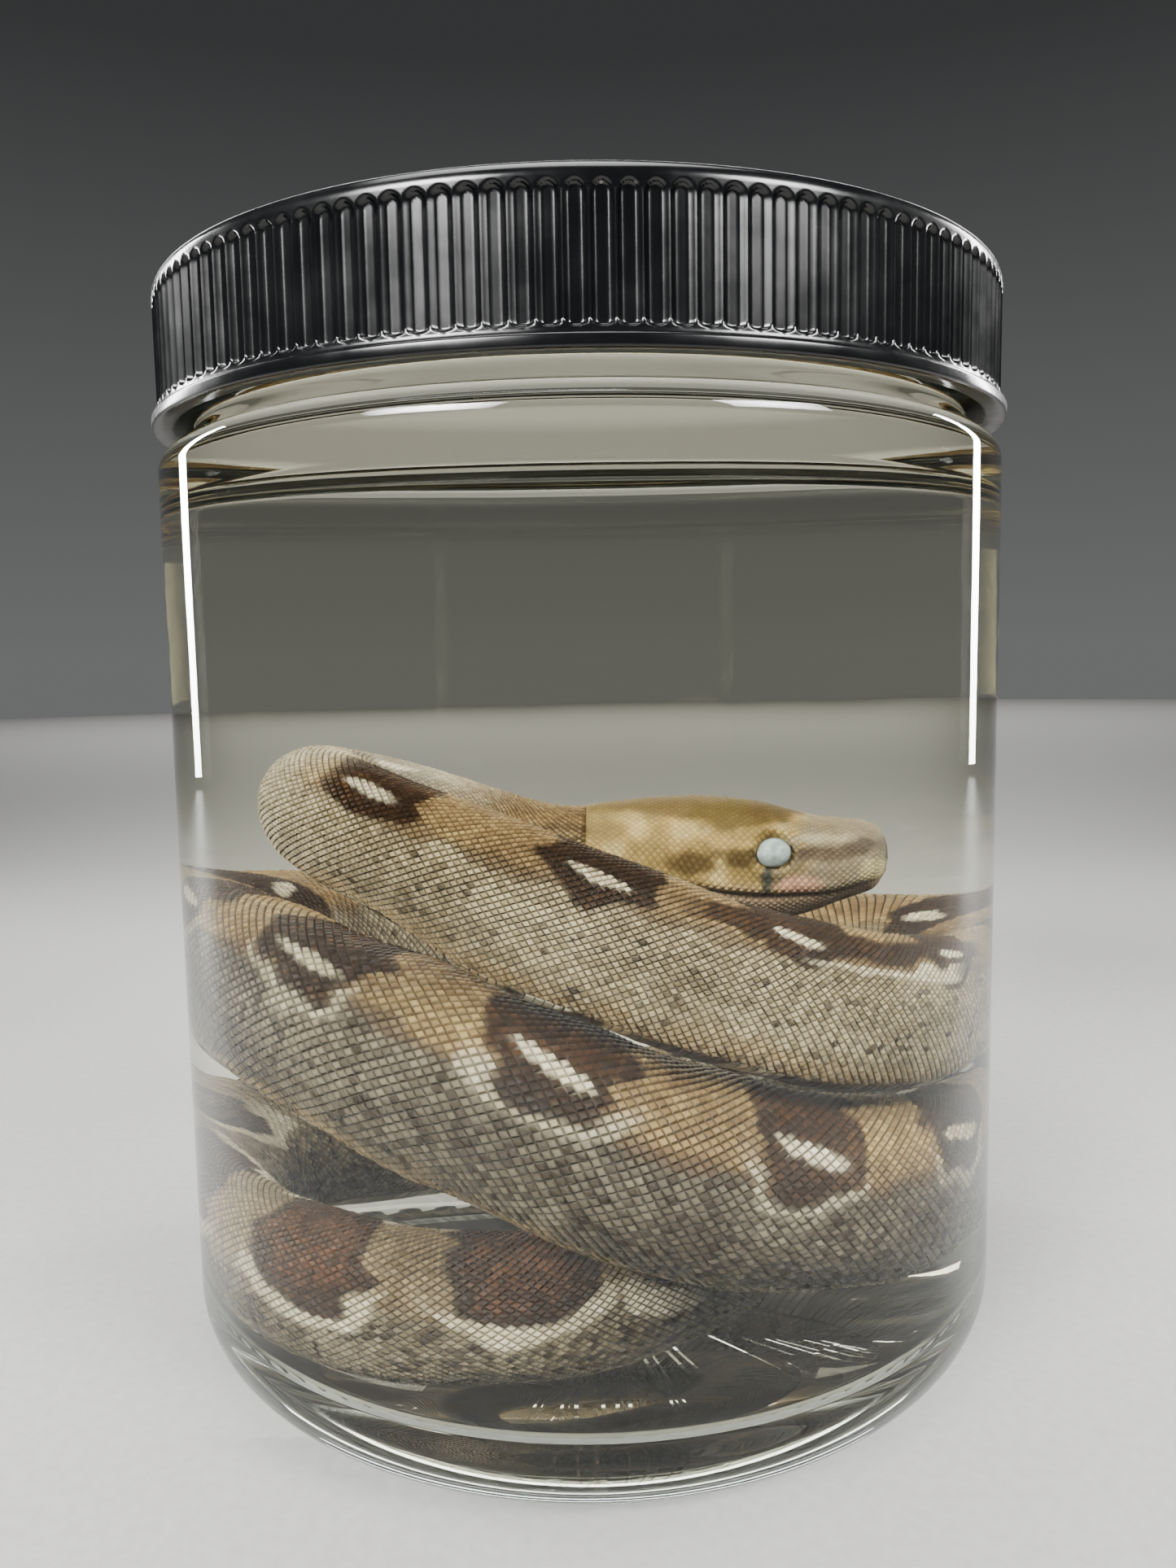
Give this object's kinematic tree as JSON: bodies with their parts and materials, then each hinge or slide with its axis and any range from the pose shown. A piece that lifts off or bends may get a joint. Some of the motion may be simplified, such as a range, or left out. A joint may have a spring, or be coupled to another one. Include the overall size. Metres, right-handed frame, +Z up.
{
  "type": "specimen jar",
  "caption": "Straight-sided glass jar with a ribbed screw cap and liner, holding a coiled young snake in preserving fluid.",
  "frame": {"origin": "centre of the ring the jar stands on, at the level of the surface under it", "axes": "+Z up along the jar's axis to the cap, -Y the front, where the head of the snake is seen side on, +X to the right seen from the front"},
  "size_m": [0.0736, 0.0736, 0.0911],
  "materials": {
    "jar_glass": "clear moulded soda-lime glass",
    "cap_plastic": "black moulded phenolic or polypropylene, glossy",
    "liner_foam": "white foamed polyethylene",
    "liner_film": "smooth white barrier film",
    "fluid": "clear preserving alcohol, faintly yellow",
    "snake_skin": "fine smooth scales, brown saddles on grey beige",
    "snake_eye": "cloudy preserved eye"
  },
  "bodies": {
    "jar": {"glass_jar": "jar_glass", "preserving_fluid": "fluid", "cranium": "snake_skin", "lower_jaw": "snake_skin", "left_eye": "snake_eye", "right_eye": "snake_eye", "neck": "snake_skin", "forebody": "snake_skin", "midbody": "snake_skin", "hindbody": "snake_skin", "lower_coil": "snake_skin", "tail": "snake_skin"},
    "liner": {"liner_foam": "liner_foam", "liner_film": "liner_film"},
    "cap": {"screw_cap": "cap_plastic"}
  },
  "joints": [
    {"name": "cap_rise", "type": "slide", "parent": "jar", "child": "liner", "axis": [0, 0, 1], "range_m": [0, 0.0039]},
    {"name": "cap_turn", "type": "hinge", "parent": "liner", "child": "cap", "pos_m": [0, 0, 0.0854], "axis": [0, 0, 1], "range_deg": [0, 330]}
  ],
  "couplings": [
    {"joint": "cap_rise", "follows": "cap_turn", "m_per_rad": 0.0006737}
  ]
}
